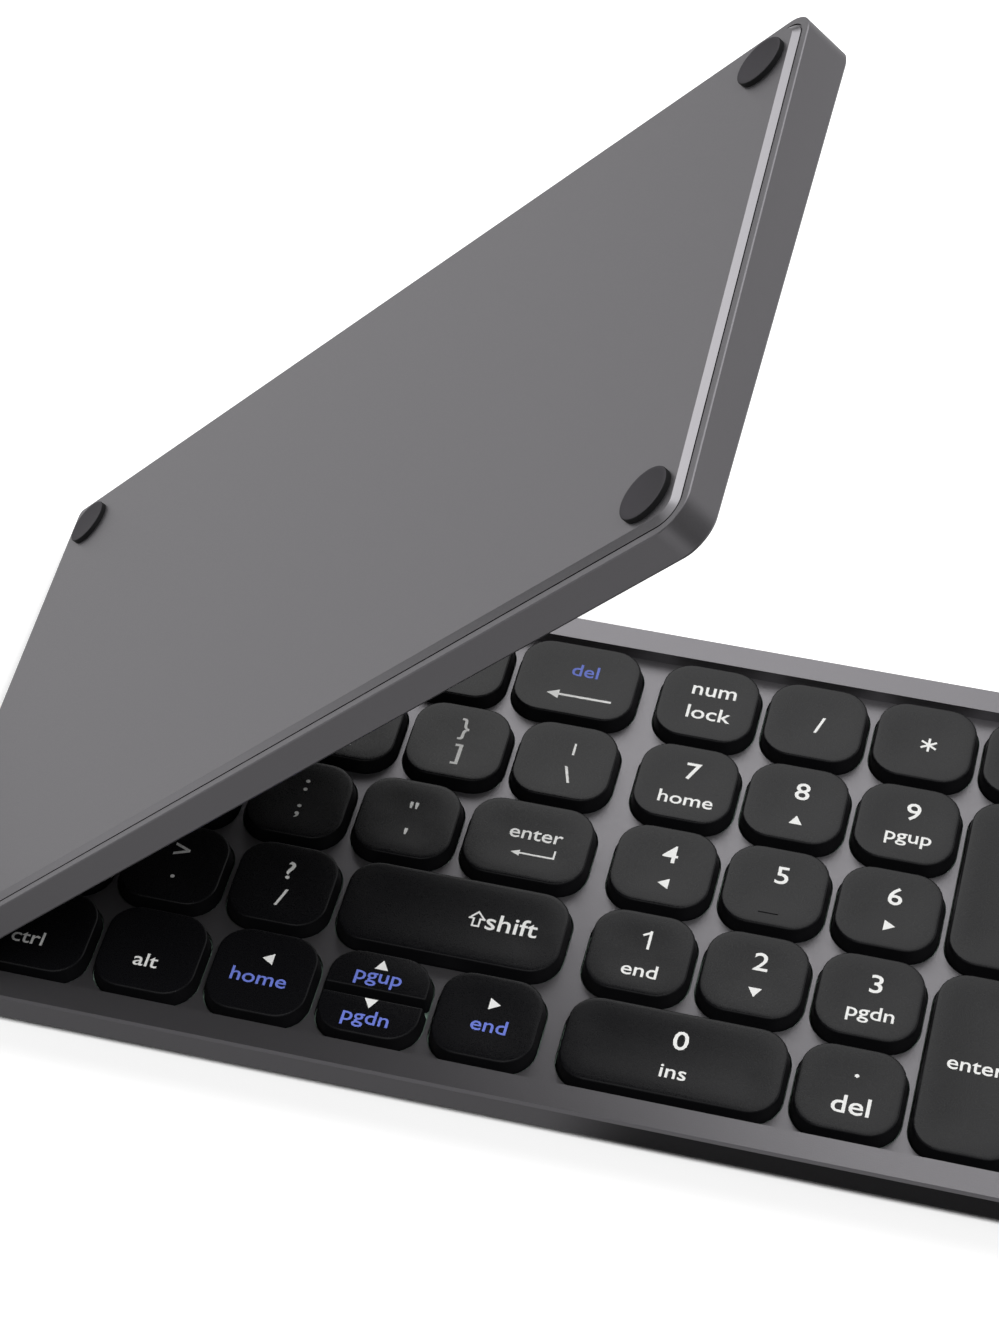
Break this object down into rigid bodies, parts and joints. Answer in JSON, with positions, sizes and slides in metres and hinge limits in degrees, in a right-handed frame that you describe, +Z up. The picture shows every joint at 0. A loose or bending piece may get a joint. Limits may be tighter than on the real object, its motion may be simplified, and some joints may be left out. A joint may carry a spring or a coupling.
{
  "type": "folding keyboard",
  "caption": "Slim metal keyboard with a number pad that folds face to face on a geared two-axis hinge; low-profile keys in a recessed deck, rubber feet below.",
  "frame": {"origin": "centre of the bounding box's underside, with the feet on Z = 0 and the lid half open as drawn", "axes": "+X from the hinge to the right half's free end, +Y away from the user, +Z up"},
  "size_m": [0.177, 0.1, 0.139],
  "materials": {
    "anodised_aluminium": "fine bead-blasted grey anodised aluminium",
    "keycap_plastic": "matte black moulded plastic",
    "foot_rubber": "matte black rubber",
    "hinge_steel": "hardened steel",
    "plate_steel": "stamped steel sheet",
    "membrane_film": "printed film with rubber domes",
    "scissor_nylon": "moulded nylon",
    "battery_foil": "aluminium pouch foil",
    "circuit_board": "glass fibre board",
    "socket_steel": "plated steel shell",
    "light_pipe": "clear moulded plastic",
    "cable_film": "amber polyimide film"
  },
  "bodies": {
    "right_half": {"base_frame": "anodised_aluminium", "base_bottom_cover": "anodised_aluminium", "base_feet": "foot_rubber", "base_screws": "hinge_steel", "base_switch_plate": "plate_steel", "base_membrane": "membrane_film", "base_scissors": "scissor_nylon", "battery": "battery_foil", "main_board": "circuit_board", "usb_socket": "socket_steel", "status_lights": "light_pipe", "rim_bumpers": "foot_rubber", "base_hinge_gears": "hinge_steel", "flex_cable": "cable_film"},
    "hinge_link": {"hinge_links": "hinge_steel"},
    "left_half": {"lid_hinge_gears": "hinge_steel", "lid_frame": "anodised_aluminium", "lid_bottom_cover": "anodised_aluminium", "lid_feet": "foot_rubber", "lid_screws": "hinge_steel", "lid_switch_plate": "plate_steel", "lid_membrane": "membrane_film", "lid_scissors": "scissor_nylon"},
    "power_slider": {"power_slider": "keycap_plastic"},
    "key_num_lock": {"key_num_lock": "keycap_plastic"},
    "key_divide": {"key_divide": "keycap_plastic"},
    "key_multiply": {"key_multiply": "keycap_plastic"},
    "key_minus": {"key_minus": "keycap_plastic"},
    "key_7": {"key_7": "keycap_plastic"},
    "key_8": {"key_8": "keycap_plastic"},
    "key_9": {"key_9": "keycap_plastic"},
    "key_plus": {"key_plus": "keycap_plastic"},
    "key_4": {"key_4": "keycap_plastic"},
    "key_5": {"key_5": "keycap_plastic"},
    "key_6": {"key_6": "keycap_plastic"},
    "key_1": {"key_1": "keycap_plastic"},
    "key_2": {"key_2": "keycap_plastic"},
    "key_3": {"key_3": "keycap_plastic"},
    "key_pad_enter": {"key_pad_enter": "keycap_plastic"},
    "key_0": {"key_0": "keycap_plastic"},
    "key_decimal": {"key_decimal": "keycap_plastic"},
    "key_backspace": {"key_backspace": "keycap_plastic"},
    "key_backslash": {"key_backslash": "keycap_plastic"},
    "key_enter": {"key_enter": "keycap_plastic"},
    "key_right_shift": {"key_right_shift": "keycap_plastic"},
    "key_left_arrow": {"key_left_arrow": "keycap_plastic"},
    "key_up_arrow": {"key_up_arrow": "keycap_plastic"},
    "key_down_arrow": {"key_down_arrow": "keycap_plastic"},
    "key_right_arrow": {"key_right_arrow": "keycap_plastic"},
    "base_modifier_keys": {"base_modifier_keys": "keycap_plastic"},
    "base_lower_letter_keys": {"base_lower_letter_keys": "keycap_plastic"},
    "base_home_row_keys": {"base_home_row_keys": "keycap_plastic"},
    "base_upper_letter_keys": {"base_upper_letter_keys": "keycap_plastic"},
    "base_digit_keys": {"base_digit_keys": "keycap_plastic"},
    "lid_modifier_keys": {"lid_modifier_keys": "keycap_plastic"},
    "lid_lower_letter_keys": {"lid_lower_letter_keys": "keycap_plastic"},
    "lid_home_row_keys": {"lid_home_row_keys": "keycap_plastic"},
    "lid_upper_letter_keys": {"lid_upper_letter_keys": "keycap_plastic"},
    "lid_digit_keys": {"lid_digit_keys": "keycap_plastic"}
  },
  "joints": [
    {"name": "hinge_fold", "type": "hinge", "parent": "right_half", "child": "hinge_link", "pos_m": [-0.08027, 0.00155, 0.00499], "axis": [0, -0.9995, -0.0304], "range_deg": [-23.5, 66.5], "deforming": ["flex_cable"]},
    {"name": "lid_fold", "type": "hinge", "parent": "hinge_link", "child": "left_half", "pos_m": [-0.0829, 0.00136, 0.01104], "axis": [0, -0.9995, -0.0304], "range_deg": [-23.5, 66.5]},
    {"name": "power_slide", "type": "slide", "parent": "right_half", "child": "power_slider", "axis": [1, 0, 0], "range_m": [0, 0.0025]},
    {"name": "press_num_lock", "type": "slide", "parent": "right_half", "child": "key_num_lock", "axis": [0, 0.0304, -0.9995], "range_m": [0, 0.0014], "stiffness_N_per_m": 260, "springref_m": -0.0006, "deforming": ["base_membrane", "base_scissors"]},
    {"name": "press_divide", "type": "slide", "parent": "right_half", "child": "key_divide", "axis": [0, 0.0304, -0.9995], "range_m": [0, 0.0014], "stiffness_N_per_m": 260, "springref_m": -0.0006},
    {"name": "press_multiply", "type": "slide", "parent": "right_half", "child": "key_multiply", "axis": [0, 0.0304, -0.9995], "range_m": [0, 0.0014], "stiffness_N_per_m": 260, "springref_m": -0.0006},
    {"name": "press_minus", "type": "slide", "parent": "right_half", "child": "key_minus", "axis": [0, 0.0304, -0.9995], "range_m": [0, 0.0014], "stiffness_N_per_m": 260, "springref_m": -0.0006},
    {"name": "press_7", "type": "slide", "parent": "right_half", "child": "key_7", "axis": [0, 0.0304, -0.9995], "range_m": [0, 0.0014], "stiffness_N_per_m": 260, "springref_m": -0.0006},
    {"name": "press_8", "type": "slide", "parent": "right_half", "child": "key_8", "axis": [0, 0.0304, -0.9995], "range_m": [0, 0.0014], "stiffness_N_per_m": 260, "springref_m": -0.0006},
    {"name": "press_9", "type": "slide", "parent": "right_half", "child": "key_9", "axis": [0, 0.0304, -0.9995], "range_m": [0, 0.0014], "stiffness_N_per_m": 260, "springref_m": -0.0006},
    {"name": "press_plus", "type": "slide", "parent": "right_half", "child": "key_plus", "axis": [0, 0.0304, -0.9995], "range_m": [0, 0.0014], "stiffness_N_per_m": 320, "springref_m": -0.0006},
    {"name": "press_4", "type": "slide", "parent": "right_half", "child": "key_4", "axis": [0, 0.0304, -0.9995], "range_m": [0, 0.0014], "stiffness_N_per_m": 260, "springref_m": -0.0006},
    {"name": "press_5", "type": "slide", "parent": "right_half", "child": "key_5", "axis": [0, 0.0304, -0.9995], "range_m": [0, 0.0014], "stiffness_N_per_m": 260, "springref_m": -0.0006},
    {"name": "press_6", "type": "slide", "parent": "right_half", "child": "key_6", "axis": [0, 0.0304, -0.9995], "range_m": [0, 0.0014], "stiffness_N_per_m": 260, "springref_m": -0.0006},
    {"name": "press_1", "type": "slide", "parent": "right_half", "child": "key_1", "axis": [0, 0.0304, -0.9995], "range_m": [0, 0.0014], "stiffness_N_per_m": 260, "springref_m": -0.0006},
    {"name": "press_2", "type": "slide", "parent": "right_half", "child": "key_2", "axis": [0, 0.0304, -0.9995], "range_m": [0, 0.0014], "stiffness_N_per_m": 260, "springref_m": -0.0006},
    {"name": "press_3", "type": "slide", "parent": "right_half", "child": "key_3", "axis": [0, 0.0304, -0.9995], "range_m": [0, 0.0014], "stiffness_N_per_m": 260, "springref_m": -0.0006},
    {"name": "press_pad_enter", "type": "slide", "parent": "right_half", "child": "key_pad_enter", "axis": [0, 0.0304, -0.9995], "range_m": [0, 0.0014], "stiffness_N_per_m": 320, "springref_m": -0.0006},
    {"name": "press_0", "type": "slide", "parent": "right_half", "child": "key_0", "axis": [0, 0.0304, -0.9995], "range_m": [0, 0.0014], "stiffness_N_per_m": 320, "springref_m": -0.0006},
    {"name": "press_decimal", "type": "slide", "parent": "right_half", "child": "key_decimal", "axis": [0, 0.0304, -0.9995], "range_m": [0, 0.0014], "stiffness_N_per_m": 260, "springref_m": -0.0006},
    {"name": "press_backspace", "type": "slide", "parent": "right_half", "child": "key_backspace", "axis": [0, 0.0304, -0.9995], "range_m": [0, 0.0014], "stiffness_N_per_m": 260, "springref_m": -0.0006},
    {"name": "press_backslash", "type": "slide", "parent": "right_half", "child": "key_backslash", "axis": [0, 0.0304, -0.9995], "range_m": [0, 0.0014], "stiffness_N_per_m": 260, "springref_m": -0.0006},
    {"name": "press_enter", "type": "slide", "parent": "right_half", "child": "key_enter", "axis": [0, 0.0304, -0.9995], "range_m": [0, 0.0014], "stiffness_N_per_m": 260, "springref_m": -0.0006},
    {"name": "press_right_shift", "type": "slide", "parent": "right_half", "child": "key_right_shift", "axis": [0, 0.0304, -0.9995], "range_m": [0, 0.0014], "stiffness_N_per_m": 320, "springref_m": -0.0006},
    {"name": "press_left_arrow", "type": "slide", "parent": "right_half", "child": "key_left_arrow", "axis": [0, 0.0304, -0.9995], "range_m": [0, 0.0014], "stiffness_N_per_m": 260, "springref_m": -0.0006},
    {"name": "press_up_arrow", "type": "slide", "parent": "right_half", "child": "key_up_arrow", "axis": [0, 0.0304, -0.9995], "range_m": [0, 0.0014], "stiffness_N_per_m": 260, "springref_m": -0.0006},
    {"name": "press_down_arrow", "type": "slide", "parent": "right_half", "child": "key_down_arrow", "axis": [0, 0.0304, -0.9995], "range_m": [0, 0.0014], "stiffness_N_per_m": 260, "springref_m": -0.0006},
    {"name": "press_right_arrow", "type": "slide", "parent": "right_half", "child": "key_right_arrow", "axis": [0, 0.0304, -0.9995], "range_m": [0, 0.0014], "stiffness_N_per_m": 260, "springref_m": -0.0006},
    {"name": "press_base_modifier_keys", "type": "slide", "parent": "right_half", "child": "base_modifier_keys", "axis": [0, 0.0304, -0.9995], "range_m": [0, 0.0014], "stiffness_N_per_m": 700, "springref_m": -0.0006},
    {"name": "press_base_lower_letter_keys", "type": "slide", "parent": "right_half", "child": "base_lower_letter_keys", "axis": [0, 0.0304, -0.9995], "range_m": [0, 0.0014], "stiffness_N_per_m": 700, "springref_m": -0.0006},
    {"name": "press_base_home_row_keys", "type": "slide", "parent": "right_half", "child": "base_home_row_keys", "axis": [0, 0.0304, -0.9995], "range_m": [0, 0.0014], "stiffness_N_per_m": 700, "springref_m": -0.0006},
    {"name": "press_base_upper_letter_keys", "type": "slide", "parent": "right_half", "child": "base_upper_letter_keys", "axis": [0, 0.0304, -0.9995], "range_m": [0, 0.0014], "stiffness_N_per_m": 700, "springref_m": -0.0006},
    {"name": "press_base_digit_keys", "type": "slide", "parent": "right_half", "child": "base_digit_keys", "axis": [0, 0.0304, -0.9995], "range_m": [0, 0.0014], "stiffness_N_per_m": 700, "springref_m": -0.0006},
    {"name": "press_lid_modifier_keys", "type": "slide", "parent": "left_half", "child": "lid_modifier_keys", "axis": [-0.7314, -0.0207, 0.6817], "range_m": [0, 0.0014], "stiffness_N_per_m": 700, "springref_m": -0.0006, "deforming": ["lid_membrane", "lid_scissors"]},
    {"name": "press_lid_lower_letter_keys", "type": "slide", "parent": "left_half", "child": "lid_lower_letter_keys", "axis": [-0.7314, -0.0207, 0.6817], "range_m": [0, 0.0014], "stiffness_N_per_m": 700, "springref_m": -0.0006},
    {"name": "press_lid_home_row_keys", "type": "slide", "parent": "left_half", "child": "lid_home_row_keys", "axis": [-0.7314, -0.0207, 0.6817], "range_m": [0, 0.0014], "stiffness_N_per_m": 700, "springref_m": -0.0006},
    {"name": "press_lid_upper_letter_keys", "type": "slide", "parent": "left_half", "child": "lid_upper_letter_keys", "axis": [-0.7314, -0.0207, 0.6817], "range_m": [0, 0.0014], "stiffness_N_per_m": 700, "springref_m": -0.0006},
    {"name": "press_lid_digit_keys", "type": "slide", "parent": "left_half", "child": "lid_digit_keys", "axis": [-0.7314, -0.0207, 0.6817], "range_m": [0, 0.0014], "stiffness_N_per_m": 700, "springref_m": -0.0006}
  ],
  "couplings": [
    {"joint": "lid_fold", "follows": "hinge_fold", "ratio": 1}
  ]
}
